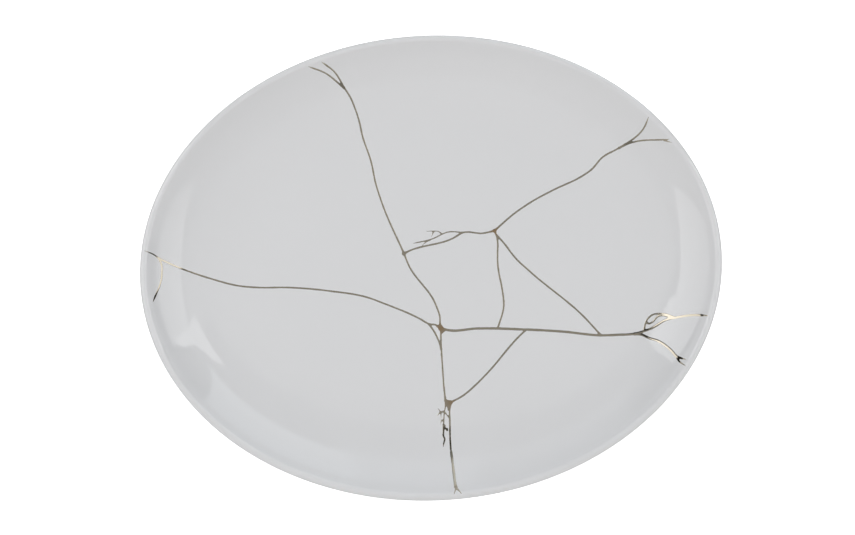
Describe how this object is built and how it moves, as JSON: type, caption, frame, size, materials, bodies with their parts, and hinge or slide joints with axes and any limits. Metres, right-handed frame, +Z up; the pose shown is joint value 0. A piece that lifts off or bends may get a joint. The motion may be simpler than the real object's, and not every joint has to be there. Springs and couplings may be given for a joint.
{
  "type": "kintsugi oval plate",
  "caption": "Shallow oval porcelain serving plate on a foot ring, its cracks filled with inlaid gold seams.",
  "frame": {"origin": "on the table, under the middle of the plate", "axes": "+X along the oval's length, +Y along its width, +Z up"},
  "size_m": [0.33, 0.27, 0.0242],
  "materials": {
    "porcelain": "clear glossy glaze over pale grey-white porcelain, bare and matt under the foot ring",
    "gold": null
  },
  "bodies": {
    "root": {"porcelain_dish": "porcelain", "gold_seams": "gold"}
  },
  "joints": []
}
